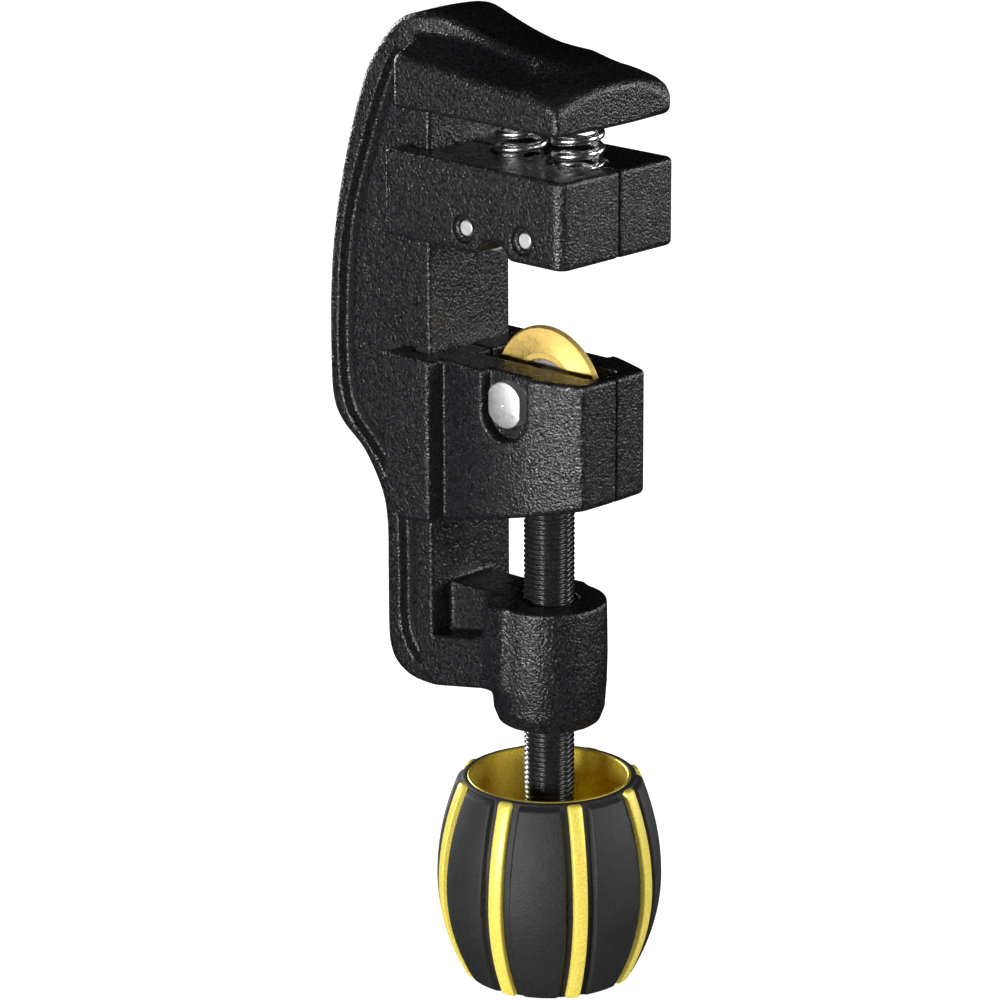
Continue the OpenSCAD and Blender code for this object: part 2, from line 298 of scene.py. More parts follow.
def settle(verts, solid, step):
    """Move vertices onto the zero level of solid along its gradient."""
    e = 0.02
    x, y, z = verts.T
    f = solid(x, y, z)
    g = np.stack([solid(x + e, y, z) - f, solid(x, y + e, z) - f,
                  solid(x, y, z + e) - f], 1) / e
    move = (f / np.maximum((g * g).sum(1), 0.25))[:, None] * g
    return verts - np.clip(move, -0.4 * step, 0.4 * step)


def lathe(name, profile, centre, axis="Z", segments=96, closed=True):
    """Solid of revolution of a closed (radius, height) profile about an axis."""
    p = np.array(profile, float)
    n, m = len(p), segments
    a = np.arange(m) * 2 * math.pi / m
    r, h = p[:, 0][:, None], p[:, 1][:, None]
    c, s = np.cos(a)[None], np.sin(a)[None]
    if axis == "Z":
        v = np.stack([r * c, r * s, h + 0 * c], 2)
    else:
        v = np.stack([r * c, h + 0 * c, -r * s], 2)
    v = v.reshape(-1, 3) + np.array(centre, float)
    i, j = np.meshgrid(np.arange(n if closed else n - 1), np.arange(m), indexing="ij")
    i, j = i.ravel(), j.ravel()
    i1, j1 = (i + 1) % n, (j + 1) % m
    faces = np.stack([i * m + j, i * m + j1, i1 * m + j1, i1 * m + j], 1)
    if closed:
        return new_object(name, v, faces)
    faces = [tuple(q) for q in faces.tolist()]
    faces.append(tuple(range(m - 1, -1, -1)))
    faces.append(tuple((n - 1) * m + k for k in range(m)))
    return new_object(name, v, faces)


def tube(name, path, radius, sides=12):
    """Round wire of a radius along a path of points, with closed ends."""
    p = np.array(path, float)
    tangent = np.gradient(p, axis=0)
    tangent /= np.linalg.norm(tangent, axis=1)[:, None]
    side = np.cross(tangent, (0, 0, 1.0))
    side /= np.linalg.norm(side, axis=1)[:, None]
    up = np.cross(side, tangent)
    a = np.arange(sides) * 2 * math.pi / sides
    ring = (np.cos(a)[None, :, None] * side[:, None] + np.sin(a)[None, :, None] * up[:, None])
    v = (p[:, None] + radius * ring).reshape(-1, 3)
    faces = []
    for i in range(len(p) - 1):
        for j in range(sides):
            k = (j + 1) % sides
            faces.append((i * sides + j, i * sides + k, (i + 1) * sides + k,
                          (i + 1) * sides + j))
    faces.append(tuple(range(sides - 1, -1, -1)))
    faces.append(tuple((len(p) - 1) * sides + j for j in range(sides)))
    return new_object(name, v, faces)


def shade_by_angle(obj, degrees=32):
    """Smooth shading that keeps edges sharper than an angle."""
    obj.data.set_sharp_from_angle(angle=math.radians(degrees))


# ---------------------------------------------------------------- castings
# Outlines in the XZ plane: the spine's back, the groove beside it, the T-rail with the arm's
# flange, and the boss as radius and height.
SPINE = curve([(-22, 56.2), (-25.5, 56.2), (-29.5, 56.7), (-33.1, 58.6), (-35, 61.9),
               (-35.5, 66.5), (-35.5, 78), (-35.6, 87), (-37, 93), (-41.5, 100),
               (-47.5, 104.8), (-50.2, 110), (-50.7, 120),
               (-50.4, 133), (-49, 145), (-46.4, 157), (-43.2, 168), (-39.2, 178),
               (-34.4, 184.2), (-30.4, 187.3), (-27, 188.8), (-23.5, 189.5), (-20, 189.3),
               (-15, 187.9), (-10, 186.4), (-5, 185.2), (0, 184.3), (4, 183.6), (7, 182.6),
               (10, 181)], 5)
WEB_LINE = np.vstack([SPINE, [(10, 174), (-22, 174), (-22, 57.2)]])
GROOVE = curve([(-28.4, 179.6), (-29.2, 180.8), (-31.3, 180.4), (-34.2, 175.9), (-38.7, 165),
                (-43.7, 150.5), (-45.8, 140), (-46.6, 130), (-46.8, 120), (-46.1, 112),
                (-43.9, 106.9), (-39.5, 102.8), (-35.2, 98.2), (-32.2, 93.4), (-31, 88),
                (-30.7, 80), (-30.7, 69), (-29.7, 64.5), (-27.2, 60.9)], 4)
GROOVE_SIDE = np.vstack([GROOVE, [(-20, 59), (-10, 120), (-20, 179.6)]])
RAIL_LINE = [(RAIL_REAR, 173), (RAIL_REAR, 64.5), (-24.5, 61.9), (-23.3, 59.4), (-21.7, 57.9),
             (-19.8, 57.3), (-4, 60.2),
             (-1.5, 60.7), (-1.5, 76.8), (-6.3, 76.8), (-6.7, 73.4), (-7.3, 71.4), (-8.4, 70),
             (-10.2, 69.3), (RAIL_FRONT, 67.5), (RAIL_FRONT, 173)]
BOSS_LINE = [(0, 52.6), (9.2, 52.6), (9.9, 53.1), (10.75, 55.3), (11.15, 60.5),
             (11.3, 66.5), (11.2, 73), (11.1, BOSS_TOP), (0, BOSS_TOP)]
# Half width of the spine's ridge over the head, against X
RIDGE = ([-30, -26, -22, -18, -14, -10, -5, 0, 6, 12],
         [9.5, 9.1, 8.3, 7.5, 7.0, 6.8, 6.6, 6.5, 6.2, 5.5])


def head_roof(x, a):
    """Height of the head's roof beside the ridge, which turns into one arch at the nose."""
    edge = np.interp(x, [-24, -22, -17.8, -9.9, 2.5, 9.6, 13.6, 15.5, 17],
                     [181.9, 181.8, 181.3, 180.3, 179.2, 178.7, 178, 177.1, 175.6])
    foot = np.interp(x, [-24, -15.6, -9.9, -2.6, 2.5, 8], [185, 184.9, 184.2, 183, 182.3, 181.6])
    crest = np.interp(x, [0, 5, 10, 14, 17.5], [184.4, 183.7, 182.7, 181.4, 179.8])
    wide = np.interp(x, *RIDGE)
    slope = edge + (foot - edge) * np.clip((HALF_W - a) / (HALF_W - wide), 0, 1) ** 1.15
    arch = edge + (crest - edge) * (1 - np.clip(a / HALF_W, 0, 1) ** 2.4)
    s = np.clip((x - 1) / 12, 0, 1)
    return slope + (arch - slope) * s * s * (3 - 2 * s)


def frame_solid(x, y, z):
    """Frame casting: spine, T-rail, arm, boss and head, with their grooves, holes and seam."""
    a = np.abs(y)
    wide = np.where(z > 178, np.interp(x, *RIDGE), WEB)
    round_off = np.interp(x, [-36, -27, -18], [2.6, 1.5, 1.2])
    crown = 0.7 * np.clip((x + 30) / 6, 0, 1) * (a / WEB) ** 2 * (z > 150)
    web = both(outline(x, z, WEB_LINE) + crown, 0.95 * (a - wide), round_off)
    away = outline(x, z, GROOVE_SIDE)
    sink = 1.9 * smooth_step(0.75, -0.35, away) * smooth_step(4.3, 0.5, line_distance(x, z, GROOVE))
    web = both(web, 0.75 * (a - WEB + sink), 0.5)
    rail = both(outline(x, z, RAIL_LINE), a - RAIL, 0.7)
    arm = box(x, y, z, (-21, -5.7, 60), (-4, 5.7, BOSS_TOP), 0.6)
    rho = np.hypot(x, y)
    boss = both(outline(rho, z, BOSS_LINE), z - BOSS_TOP, 1.0)
    head = both(0.9 * (z - head_roof(x, a)), a - HALF_W, 1.3)
    far = np.clip((y - 6) / 7, 0, 1)
    nose = 17.3 - 0.0035 * a * a + 0.6 * far
    head = both(head, x - nose, 1.1 + 0.9 * far)
    head = both(head, -25.6 - x, 1.4)
    head = both(head, HEAD_Z - z, 0.7 + 0.9 * far * np.clip((x - 6) / 8, 0, 1))
    body = join(web, rail, 0.8)
    body = join(body, arm, 0.9)
    body = join(body, boss, 2.6)
    body = join(body, head, np.interp(x, [-4, 5], [1.0, 4.5]))
    hole = np.minimum(both(rho - SCREW_R - 0.75, 76 - z), both(rho - 7.0, z - 71))
    hole = both(hole, both(50 - z, z - 90))
    body = cut(body, hole, 0.5)
    for sx in (-SPRING_X, SPRING_X):
        seat = both(rod_z(x, y, sx, 0, SEAT_R), both(z - 175, 170 - z))
        body = cut(body, seat, 0.4)
    seam = both(a - 0.12, 77.0 - z)
    return cut(body, both(seam, both(rho - 12, z - 90)), 0.25)


def rail_slot(x, a):
    """Slot for the T-rail and the spine in a casting that slides on them."""
    rail = both(a - RAIL - RUNNING, both(RAIL_REAR - RUNNING - x, x - RAIL_FRONT - RUNNING))
    return np.minimum(rail, both(a - WEB - RUNNING, x + 25))


def block_solid(x, y, z):
    """Roller block, both halves: sprung on the rail, with pockets for rollers and springs."""
    a = np.abs(y)
    front = both(x - BLOCK_HI[0], a - HALF_W, 2.4)
    body = both(front, BLOCK_LO[0] - 0.9 - x, 0.5)
    body = both(body, both(BLOCK_Z - z, z - BLOCK_TOP), 0.9)
    body = cut(body, rail_slot(x, a), 0.5)
    room = both(a - 8.5, both(np.abs(x) - 13.6, z - 157.5))
    body = cut(body, room, 0.5)
    body = cut(body, box(x, y, z, (-21, -1.8, 151.7), (-17, 1.8, 160.5)), 0.0)
    notch = rod(x, z, 0, BLOCK_Z - 1.35, 4.4)
    body = cut(body, notch, 0.7)
    for sx in (-SPRING_X, SPRING_X):
        seat = both(rod_z(x, y, sx, 0, SEAT_R), BLOCK_TOP - 3 - z)
        body = cut(body, seat, 0.5)
    for sx in (-ROLLER_X, ROLLER_X):
        body = cut(body, both(rod(x, z, sx, ROLLER_Z, 2.55), HALF_W - 1.0 - a), 0.35)
        body = cut(body, rod(x, z, sx, ROLLER_Z, PIN_R), 0.0)
    nick = np.hypot(a, np.minimum(np.abs(z - BLOCK_TOP), np.abs(z - BLOCK_Z))) - 0.55
    nick = both(nick, BLOCK_HI[0] - 0.9 - x)
    return cut(body, nick, 0.3)


# The carriage's front half seen from above, and its rear plates seen from the side
PLATE_FRONT, PLATE_REAR = -16.6, -29.2
NOSE = curve([(PLATE_FRONT, 11.75), (-12, 12.5), (-8, 12.95), (-4, 13.1), (0, 13.05), (4.5, 12.6),
              (8.5, 11.65), (12.2, 10.35), (15.3, 9.15), (16.35, 8.55), (16.8, 7.4), (17, 5),
              (17.2, 2.5), (17.3, 0)], 4)
NOSE_LINE = np.vstack([NOSE, [(17.3, -4), (-26, -4), (-26, 11.75)]])
CARR_SIDE = [(PLATE_REAR, 130), (PLATE_REAR, 97.4), (-28.7, 95), (-27.5, 93.1), (-25.7, 91.9),
             (-23.4, 91.4), (-15.1, 92.2), (20, 100.5), (20, 130)]


def carriage_solid(x, y, z):
    """Cutter carriage, both halves: rear plates on the rail, and a nose round the wheel."""
    a = np.abs(y)
    side = outline(x, z, CARR_SIDE)
    plates = both(both(a - HALF_W, x - PLATE_FRONT, 0.9), PLATE_REAR - x, 0.5)
    nose = outline(x, a, NOSE_LINE)
    body = join(nose, plates, 0.5)
    body = both(body, side, 1.0)
    body = both(body, z - CARR_TOP, 0.9)
    body = cut(body, rail_slot(x, a), 0.5)
    slot = both(both(a - 4.0, x - 14.3, 1.8), both(-15 - x, 103.3 - z))
    body = cut(body, slot, 0.35)
    recess = join(rod(x, z, 0, WHEEL_Z - 1.1, 5.3), both(np.abs(x) - 5.3, WHEEL_Z - 1.1 - z))
    body = cut(body, both(recess, 10.6 - a), 0.7)
    rho = np.hypot(x, y)
    hole = both(rho - SCREW_R - 0.35, z - 110)
    body = cut(body, hole, 0.6)
    cavity = both(rho - 7.3, both(99.3 - z, z - 101.7))
    return cut(body, cavity, 0.0)


def half_of(solid, gap=0.16):
    """Near half of a split solid, with a soft seam edge."""
    def near(x, y, z):
        return both(solid(x, y, z), y + gap, 0.45)
    return near


def mirrored(name, obj):
    """Copy of a near half, mirrored to the far side."""
    n = len(obj.data.vertices)
    co = np.empty(n * 3)
    obj.data.vertices.foreach_get("co", co)
    verts = co.reshape(-1, 3) / MM * (1, -1, 1)
    faces = np.empty(len(obj.data.polygons) * 4, np.int32)
    obj.data.loops.foreach_get("vertex_index", faces)
    return new_object(name, verts, faces.reshape(-1, 4)[:, ::-1].copy())


GRID = 0.4
casting = surface("frame_casting", frame_solid, FRAME_LO - 1.3, FRAME_HI + 1.3, GRID)
block_near = surface("block_half_near", half_of(block_solid),
                     BLOCK_LO - 1.3, BLOCK_HI + 1.3, GRID * 0.9)
block_far = mirrored("block_half_far", block_near)
carr_near = surface("carriage_half_near", half_of(carriage_solid),
                    CARR_LO - 1.3, CARR_HI + 1.3, GRID * 0.9)
carr_far = mirrored("carriage_half_far", carr_near)
for piece, cad_node, body in ((casting, "frame", "frame_body"),
                              (block_near, "roller_block_near", "roller_block"),
                              (block_far, "roller_block_far", "roller_block"),
                              (carr_near, "carriage_near", "carriage"),
                              (carr_far, "carriage_far", "carriage")):
    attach(piece, body)
    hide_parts(cad_node)
    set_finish(piece, "casting")


# ---------------------------------------------------------------- wheel, rollers and pins
t = WHEEL_T / 2
wheel = lathe("cutting_wheel_disc", [
    (7.26, -t + 0.15), (7.4, -t), (8.4, -t), (8.55, -t + 0.1), (13.1, -0.7), (13.4, -0.3),
    (WHEEL_R, -0.05), (WHEEL_R, 0.05), (13.4, 0.3), (13.1, 0.7), (8.55, t - 0.1), (8.4, t),
    (7.4, t), (7.26, t - 0.15)], (0, 0, WHEEL_Z), "Y", 160)
bush = lathe("wheel_bush_ring", [
    (4.52, -t + 0.5), (4.7, -t + 0.3), (6.95, -t + 0.3), (7.24, -t + 0.55),
    (7.24, t - 0.55), (6.95, t - 0.3), (4.7, t - 0.3), (4.52, t - 0.5)],
    (0, 0, WHEEL_Z), "Y", 96)


def roller(name, x):
    h = ROLLER_HI[1]
    return lathe(name, [
        (PIN_R + 0.06, -h), (ROLLER_R - 0.7, -h), (ROLLER_R - 0.2, -h + 0.15),
        (ROLLER_R, -h + 0.6), (ROLLER_R, -1.3), (ROLLER_R - 0.12, -1.1), (ROLLER_R - 0.9, -0.7),
        (ROLLER_R - 0.9, 0.7), (ROLLER_R - 0.12, 1.1), (ROLLER_R, 1.3),
        (ROLLER_R, h - 0.6), (ROLLER_R - 0.2, h - 0.15), (ROLLER_R - 0.7, h),
        (PIN_R + 0.06, h)], (x, 0, ROLLER_Z), "Y", 96)


def roller_pin(name, x):
    h, r = PIN_HI[1], PIN_R - 0.01
    end = [(0.2, h), (0.8, h), (r - 0.4, h), (r - 0.24, h - 0.12), (r - 0.16, h - 0.9),
           (r, h - 1.1)]
    profile = [(a, -b) for a, b in end] + [(a, b) for a, b in end[::-1]]
    return lathe(name, profile, (x, 0, ROLLER_Z), "Y", 48, closed=False)


def double_d(name, r, half_flat, length, z, chamfer=0.35, n=40):
    """Round bar along Y with two flats facing +X and -X and chamfered ends."""
    lim = math.acos(half_flat / r)
    arc = np.linspace(lim, math.pi - lim, n)
    ring = np.concatenate([arc, arc + math.pi])
    pts = np.stack([r * np.cos(ring), r * np.sin(ring)], 1)
    rings = [(0.06, length - 0.16), (0.3 / r, length - 0.08), (0.42 / r, length),
             (1 - chamfer / r, length), (1 - 0.2 * chamfer / r, length - 0.3 * chamfer),
             (1, length - chamfer)]
    stack = [(s, -h) for s, h in rings] + [(s, h) for s, h in rings[::-1]]
    m = len(pts)
    verts = [(s * px, h, z + s * pz) for s, h in stack for px, pz in pts]
    faces = [tuple(range(m))]
    for i in range(len(stack) - 1):
        for j in range(m):
            k = (j + 1) % m
            faces.append((i * m + j, (i + 1) * m + j, (i + 1) * m + k, i * m + k))
    faces.append(tuple((len(stack) - 1) * m + j for j in range(m - 1, -1, -1)))
    return new_object(name, verts, faces)


axle = double_d("wheel_axle_bar", 4.46, 4.0, 12.7, WHEEL_Z + 0.6)
front_roller = roller("front_roller_sleeve", ROLLER_X)
rear_roller = roller("rear_roller_sleeve", -ROLLER_X)
front_pin = roller_pin("front_pin_rivet", ROLLER_X)
rear_pin = roller_pin("rear_pin_rivet", -ROLLER_X)
for piece, cad_node, body, slot in (
        (wheel, "cutting_wheel", "wheel", "wheel_gold"),
        (bush, "wheel_bush", "wheel", "roller_steel"),
        (axle, "wheel_axle", "carriage", "pin_steel"),
        (front_roller, "front_roller", "front_roller_body", "roller_steel"),
        (rear_roller, "rear_roller", "rear_roller_body", "roller_steel"),
        (front_pin, "front_roller_pin", "roller_block", "pin_steel"),
        (rear_pin, "rear_roller_pin", "roller_block", "pin_steel")):
    shade_by_angle(piece)
    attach(piece, body)
    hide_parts(cad_node)
    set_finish(piece, slot)


# ---------------------------------------------------------------- springs
WIRE = 0.82                                # radius of the springs' wire


def spring(name, x, start):
    """Compression spring with closed ends, from the block's seat to the head's seat."""
    z0, z1 = SPRING_LO[2] + WIRE, SPRING_HI[2] - WIRE
    turns, closed = 5.1, 0.8
    path = []
    for i in range(int(turns * 40) + 1):
        s = i / 40
        rise = (z1 - z0 - 2 * closed * 2 * WIRE) / (turns - 2 * closed)
        if s < closed:
            z = z0 + s * 2 * WIRE
        elif s > turns - closed:
            z = z1 - (turns - s) * 2 * WIRE
        else:
            z = z0 + closed * 2 * WIRE + (s - closed) * rise
        a = start + s * 2 * math.pi
        r = (SPRING_HI[0] - SPRING_LO[0]) / 2 - WIRE
        path.append((x + r * math.cos(a), r * math.sin(a), z))
    return tube(name, path, WIRE)


for piece, cad_node, x in ((spring("front_coil", SPRING_X, 0.4), "front_spring", SPRING_X),
                           (spring("rear_coil", -SPRING_X, 2.2), "rear_spring", -SPRING_X)):
    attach(piece, "frame_body")
    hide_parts(cad_node)
    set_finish(piece, "spring_steel")
    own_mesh(piece)


# ---------------------------------------------------------------- feed screw
def screw(name):
    """Feed screw with its helical thread, plain at the top end."""
    z0, z1 = SCREW_LO[2], SCREW_HI[2]
    per_turn, around = 8, 48
    z = np.arange(z0, z1 + 1e-6, PITCH / per_turn)
    z = z[z < z1 - 0.01]
    a = np.arange(around) * 2 * math.pi / around
    phase = (z[:, None] - PITCH * a[None] / (2 * math.pi)) / PITCH % 1
    tooth = np.clip(2.4 * np.abs(phase - 0.5) - 0.1, 0, 1)
    depth = 0.56 * np.clip((z1 - 4 - z[:, None]) / 1.5, 0, 1)
    r = SCREW_R - depth * (1 - tooth)
    rings = np.stack([r * np.cos(a), r * np.sin(a), z[:, None] + 0 * r], 2)
    cap0 = np.stack([0.9 * SCREW_R * np.cos(a), 0.9 * SCREW_R * np.sin(a), z0 + 0 * a], 1)
    cap1 = np.stack([0.9 * SCREW_R * np.cos(a), 0.9 * SCREW_R * np.sin(a), z1 + 0 * a], 1)
    rings[0, :, 2] += 0.3
    verts = np.vstack([cap0, rings.reshape(-1, 3), cap1])
    m = around
    n = len(verts) // m
    faces = [tuple(range(m - 1, -1, -1))]
    for i in range(n - 1):
        for j in range(m):
            k = (j + 1) % m
            faces.append((i * m + j, i * m + k, (i + 1) * m + k, (i + 1) * m + j))
    faces.append(tuple((n - 1) * m + j for j in range(m)))
    return new_object(name, verts, faces)


thread = screw("feed_screw_thread")
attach(thread, "spindle")
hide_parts("feed_screw")
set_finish(thread, "screw_black")


# ---------------------------------------------------------------- knob
CUP_R = 15.25                              # radius of the cup in the knob's top
CUP_FLOOR = 27.0                           # height of the cup's floor
LIP_R = 15.95                              # outside radius of the cup's lip
KNOB_R = 22.15                             # largest radius, over the ribs
RIBS = 8
RIB_W = 2.7
RIB_TURN = math.radians(-31)               # where the first rib stands


def barrel(z):
    """Radius of the knob over its ribs at height z."""
    m = KNOB_H / 2
    k = np.where(z < m, 5.95, 4.35)
    return KNOB_R - k * ((z - m) / m) ** 2


def knob_grip():
    """Soft grip: a shell with eight raised panels and channels beside the ribs."""
    period = 2 * math.pi / RIBS
    local = np.concatenate([np.linspace(0, 0.09, 7), np.linspace(0.1, 0.24, 15),
                            np.linspace(0.26, 0.5, 7)])
    half = np.concatenate([local, 1 - local[::-1][1:-1]])
    angles = np.concatenate([RIB_TURN + period * (k + half) for k in range(RIBS)])
    frac = np.tile(half, RIBS)
    near = np.minimum(frac, 1 - frac) * period
    z = np.concatenate([[0.0, 0.12, 0.4, 0.9], np.linspace(1.5, 3.4, 8),
                        np.linspace(4.4, 38.6, 28), np.linspace(39.2, 40.5, 9)])
    rows = []
    for zz in z:
        r = barrel(zz)
        off = near * r
        panel = smooth_step(RIB_W / 2 + 1.4, RIB_W / 2 + 2.0, off)
        end = smooth_step(40.5, 39.7, zz) * smooth_step(-0.4, 1.2, zz)
        drop = 1.25 - 1.05 * panel * end
        drop = drop + 0.9 * max(0.0, 1 - zz / 0.9) ** 2
        rows.append((r - drop, np.full_like(off, zz)))
    top = [(17.0, 40.62), (17.0, 40.8), (16.8, 40.96), (16.3, 41.04), (16.05, 41.02),
           (LIP_R + 0.02, 40.9), (LIP_R + 0.02, 39.5)]
    for r, zz in top:
        rows.append((np.full_like(near, r), np.full_like(near, zz)))
    for zz in np.linspace(38.5, 0.0, 16):
        r = min(float(barrel(zz)) - 3.0, 20)
        if zz > 37:
            r = min(r, LIP_R + 0.02)
        rows.append((np.full_like(near, r), np.full_like(near, zz)))
    verts = np.vstack([np.stack([r * np.cos(angles), r * np.sin(angles), h], 1)
                       for r, h in rows])
    n, m = len(rows), len(angles)
    i, j = np.meshgrid(np.arange(n), np.arange(m), indexing="ij")
    i, j = i.ravel(), j.ravel()
    i1, j1 = (i + 1) % n, (j + 1) % m
    faces = np.stack([i * m + j, i * m + j1, i1 * m + j1, i1 * m + j], 1)
    return new_object("knob_grip_shell", verts, faces)


def knob_ribs():
    """The eight ribs, as bars that follow the barrel, with rounded corners and ends."""
    verts, faces = [], []
    z_line = np.concatenate([[0.55, 0.6, 0.8, 1.2], np.linspace(2.2, 38.9, 30),
                             [40.1, 40.5, 40.75, 40.85]])
    swell = np.interp(z_line, [0.55, 0.6, 0.8, 1.2, 40.1, 40.5, 40.75, 40.85],
                      [0.0, 0.45, 0.8, 1.0, 1.0, 0.85, 0.5, 0.0])
    section = [(-1, 0), (-1, 0.86), (-0.95, 0.95), (-0.82, 0.99), (0, 1.0), (0.82, 0.99),
               (0.95, 0.95), (1, 0.86), (1, 0)]
    m = len(section)
    for k in range(RIBS):
        a = RIB_TURN + k * 2 * math.pi / RIBS
        out = np.array([math.cos(a), math.sin(a), 0])
        along = np.array([-math.sin(a), math.cos(a), 0])
        base = len(verts)
        for zz, s in zip(z_line, swell):
            top = float(barrel(zz))
            for u, w in section:
                r = top - 2.6 + 2.6 * w - (1 - s) * 0.5
                verts.append(out * r + along * u * RIB_W / 2 * (0.72 + 0.28 * s)
                             + np.array([0, 0, zz]))
        for i in range(len(z_line) - 1):
            for j in range(m):
                j1 = (j + 1) % m
                a0, a1 = base + i * m, base + (i + 1) * m
                faces.append((a0 + j, a1 + j, a1 + j1, a0 + j1))
        faces.append(tuple(base + j for j in range(m)))
        last = base + (len(z_line) - 1) * m
        faces.append(tuple(last + j for j in range(m - 1, -1, -1)))
    return new_object("knob_ribs", verts, faces)


core_side = [(float(barrel(h)) - 3.05, h) for h in np.linspace(1.0, 36.5, 20)]
core = lathe("knob_core_cup", [(9.02, 2.52), (9.02, 0.2), (9.2, 0.0), (12.9, 0.0)] + core_side
             + [(LIP_R, 38.2), (LIP_R, 40.9), (15.8, 41.08), (15.45, 41.08), (CUP_R, 40.9),
                (CUP_R - 0.02, CUP_FLOOR + 1.2), (CUP_R - 0.4, CUP_FLOOR + 0.3),
                (CUP_R - 1.3, CUP_FLOOR), (SCREW_R + 1.0, CUP_FLOOR),
                (SCREW_R + 0.02, CUP_FLOOR - 0.6), (SCREW_R + 0.02, 2.52)],
             (0, 0, 0), "Z", 128)
shade_by_angle(core)
grip = knob_grip()
shade_by_angle(grip, 50)
rib_piece = knob_ribs()
shade_by_angle(rib_piece, 50)
for piece, slot in ((core, "knob_yellow"), (rib_piece, "knob_yellow"), (grip, "knob_black")):
    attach(piece, "spindle")
    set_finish(piece, slot)
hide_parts("knob_core")
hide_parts("knob_grip")


# ---------------------------------------------------------------- materials
def material(name):
    """New material and its shader, node tree and a position input in the object's space."""
    mat = bpy.data.materials.new(name)
    mat.use_nodes = True
    tree = mat.node_tree
    shader = tree.nodes["Principled BSDF"]
    coord = tree.nodes.new("ShaderNodeTexCoord")
    return mat, tree, shader, coord.outputs["Object"]


def node(tree, kind, **values):
    """New node with its properties or inputs set."""
    n = tree.nodes.new(kind)
    for key, value in values.items():
        if hasattr(n, key):
            setattr(n, key, value)
        else:
            n.inputs[key.replace("_", " ")].default_value = value
    return n


def noise(tree, where, scale, detail=2.0, rough=0.5):
    n = node(tree, "ShaderNodeTexNoise", Scale=scale, Detail=detail, Roughness=rough)
    tree.links.new(where, n.inputs["Vector"])
    return n.outputs["Fac"]


def ramp(tree, fac, stops):
    """Colour ramp through (position, colour or single value) stops."""
    n = tree.nodes.new("ShaderNodeValToRGB")
    els = n.color_ramp.elements
    while len(els) < len(stops):
        els.new(0.5)
    for el, (pos, col) in zip(els, stops):
        el.position = pos
        el.color = (*col, 1) if len(col) == 3 else (col[0],) * 3 + (1,)
    tree.links.new(fac, n.inputs["Fac"])
    return n.outputs["Color"]


def bump(tree, height, distance, strength=1.0, normal=None):
    n = node(tree, "ShaderNodeBump", Strength=strength, Distance=distance)
    tree.links.new(height, n.inputs["Height"])
    if normal:
        tree.links.new(normal, n.inputs["Normal"])
    return n.outputs["Normal"]


def powder_coat():
    """Black textured powder coat: fine glossy wrinkles over soft waves."""
    mat, tree, shader, pos = material("powder_coat")
    grain = noise(tree, pos, 2300, 1.0, 0.5)
    waves = noise(tree, pos, 900, 1.0, 0.5)
    n1 = bump(tree, waves, 0.00010, 0.5)
    n2 = bump(tree, grain, 0.00024, 1.0, n1)
    tree.links.new(n2, shader.inputs["Normal"])
    col = ramp(tree, grain, [(0.40, (0.003, 0.003, 0.0038)), (0.66, (0.013, 0.0125, 0.0145))])
    tree.links.new(col, shader.inputs["Base Color"])
    rough = ramp(tree, waves, [(0.3, (0.25,)), (0.7, (0.32,))])
    tree.links.new(rough, shader.inputs["Roughness"])
    shader.inputs["Specular IOR Level"].default_value = 0.45
    return mat


def metal(name, colour, rough, scale=700, tint=0.06, grain=0.00002, stretch=None):
    """Bare or plated metal with fine machining marks and slight colour variation."""
    mat, tree, shader, pos = material(name)
    if stretch:
        m = tree.nodes.new("ShaderNodeMapping")
        m.inputs["Scale"].default_value = stretch
        tree.links.new(pos, m.inputs["Vector"])
        pos = m.outputs["Vector"]
    marks = noise(tree, pos, scale, 3.0, 0.6)
    lo = tuple(c * (1 - tint) for c in colour)
    hi = tuple(min(1.0, c * (1 + tint)) for c in colour)
    tree.links.new(ramp(tree, marks, [(0.3, lo), (0.7, hi)]), shader.inputs["Base Color"])
    tree.links.new(ramp(tree, marks, [(0.3, (rough * 0.85,)), (0.7, (rough * 1.2,))]),
                   shader.inputs["Roughness"])
    tree.links.new(bump(tree, marks, grain, 0.5), shader.inputs["Normal"])
    shader.inputs["Metallic"].default_value = 1.0
    return mat


def plastic(name, lo, hi, rough, scale, grain, strength=0.4, metallic=0.0):
    """Moulded plastic or rubber with a fine grain."""
    mat, tree, shader, pos = material(name)
    fine = noise(tree, pos, scale, 2.0, 0.55)
    tree.links.new(ramp(tree, fine, [(0.35, lo), (0.65, hi)]), shader.inputs["Base Color"])
    broad = noise(tree, pos, 90, 2.0)
    tree.links.new(ramp(tree, broad, [(0.3, (rough * 0.92,)), (0.7, (rough * 1.08,))]),
                   shader.inputs["Roughness"])
    tree.links.new(bump(tree, fine, grain, strength), shader.inputs["Normal"])
    shader.inputs["Metallic"].default_value = metallic
    return mat


MATERIALS = {
    "casting": powder_coat(),
    "bush_brass": metal("brass", (0.72, 0.53, 0.25), 0.32, 900),
    "spring_steel": metal("bright_wire", (0.86, 0.86, 0.87), 0.22, 1200, 0.03),
    "roller_steel": metal("polished_steel", (0.86, 0.86, 0.87), 0.40, 900, 0.04),
    "pin_steel": metal("turned_steel", (0.80, 0.80, 0.79), 0.50, 2500, 0.03, 0.000006),
    "wheel_gold": metal("gold_coating", (0.93, 0.68, 0.22), 0.54, 1800, 0.08, 0.00001),
    "screw_black": plastic("black_oxide", (0.008, 0.008, 0.009), (0.016, 0.016, 0.017), 0.21,
                           1500, 0.00003, 0.3),
    "knob_yellow": plastic("metallic_yellow", (0.57, 0.455, 0.062), (0.76, 0.625, 0.11), 0.42,
                           3000, 0.00005, 0.5, 0.2),
    "knob_black": plastic("soft_black", (0.004, 0.004, 0.0043), (0.013, 0.0126, 0.0137), 0.62,
                          3000, 0.00014, 0.9),
}
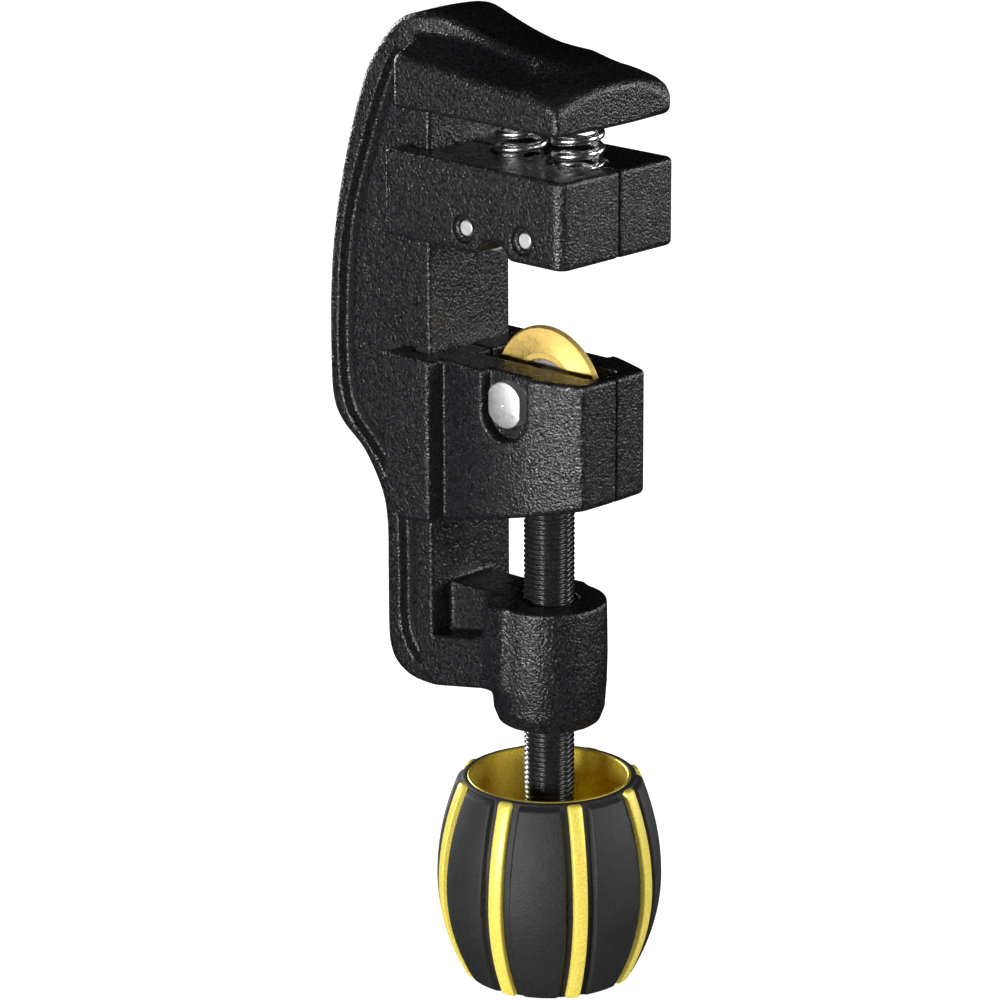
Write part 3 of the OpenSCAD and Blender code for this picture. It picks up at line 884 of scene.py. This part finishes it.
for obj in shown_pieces():
    slot_name = obj.get("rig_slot")
    if slot_name is None:
        for row in frame["record"]["subparts"]:
            if row["node"] == obj.get("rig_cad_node", obj.name):
                slot_name = row["material_slot"]
    if slot_name is None:
        raise RuntimeError("no slot for " + obj.name)
    obj.data.materials.clear()
    obj.data.materials.append(MATERIALS[slot_name])
core.data.materials[0] = plastic("golden_cup", (0.70, 0.52, 0.06), (0.88, 0.69, 0.10), 0.36,
                                 2600, 0.00005, 0.5, 0.7)


# ---------------------------------------------------------------- floor, light and camera
def studio_floor():
    """Pale floor that glows softly, so that it stays plain and even."""
    mesh = bpy.data.meshes.new("floor")
    s = 6.0
    mesh.from_pydata([(-s, -s, 0), (s, -s, 0), (s, s, 0), (-s, s, 0)], [], [(0, 1, 2, 3)])
    floor = bpy.data.objects.new("floor", mesh)
    bpy.context.scene.collection.objects.link(floor)
    floor.location.z = -0.0003
    mat, tree, shader, pos = material("pale_floor")
    col = ramp(tree, noise(tree, pos, 6, 3.0), [(0.3, (0.86,)), (0.7, (0.88,))])
    tree.links.new(col, shader.inputs["Base Color"])
    shader.inputs["Roughness"].default_value = 0.8
    shader.inputs["Emission Color"].default_value = (1, 1, 1, 1)
    shader.inputs["Emission Strength"].default_value = 0.8
    mesh.materials.append(mat)
    floor.visible_glossy = False


def area(name, turn, rise, size, size_y, power):
    """Softbox aimed at the object, turned from the camera's side and raised, in degrees."""
    light = bpy.data.lights.new(name, "AREA")
    light.energy = power
    light.shape = "RECTANGLE"
    light.size, light.size_y = size, size_y
    obj = bpy.data.objects.new(name, light)
    bpy.context.scene.collection.objects.link(obj)
    a, e = math.radians(CAMERA_SIDE + turn), math.radians(rise)
    middle = Vector((0, 0, 0.11))
    way = Vector((math.sin(a) * math.cos(e), -math.cos(a) * math.cos(e), math.sin(e)))
    obj.location = middle + LIGHT_DISTANCE * way
    obj.rotation_euler = way.to_track_quat("Z", "Y").to_euler()


def studio():
    """White sweep seen by the camera only, and softboxes on both sides."""
    world = bpy.data.worlds.new("studio")
    world.use_nodes = True
    world.node_tree.nodes["Background"].inputs["Color"].default_value = (1, 1, 1, 1)
    bpy.context.scene.world = world
    world.cycles_visibility.diffuse = False
    world.cycles_visibility.glossy = False
    for row in LIGHTS:
        area(*row)


CAMERA_SIDE = 42.7
LIGHT_DISTANCE = 1.3
# name, turn and rise in degrees, width and height in metres, power in watts
LIGHTS = [("left_box", -36, 3, 0.40, 0.20, 21),
          ("left_fill", -62, 3, 0.40, 0.20, 2.2),
          ("left_rim", -142, 8, 0.40, 0.60, 13),
          ("right_box", 66, 18, 0.40, 0.75, 10),
          ("far_box", 112, 8, 0.45, 0.30, 6),
          ("top_box", 0, 70, 0.80, 0.80, 0.6)]


def camera():
    """Camera at the photograph's viewing angle."""
    azimuth, elevation = math.radians(42.71), math.radians(16.99)
    distance, target = 0.85334, Vector((0, 0, 0.09675))
    back = Vector((math.sin(azimuth) * math.cos(elevation),
                   -math.cos(azimuth) * math.cos(elevation), math.sin(elevation)))
    data = bpy.data.cameras.new("camera")
    data.sensor_width = 36
    data.lens = 160.9
    data.shift_x = -0.0493
    data.clip_start = 0.01
    obj = bpy.data.objects.new("camera", data)
    bpy.context.scene.collection.objects.link(obj)
    obj.location = target + distance * back
    obj.rotation_euler = (-back).to_track_quat("-Z", "Y").to_euler()
    bpy.context.scene.camera = obj


studio_floor()
studio()
camera()
bpy.context.scene.view_settings.view_transform = "Standard"
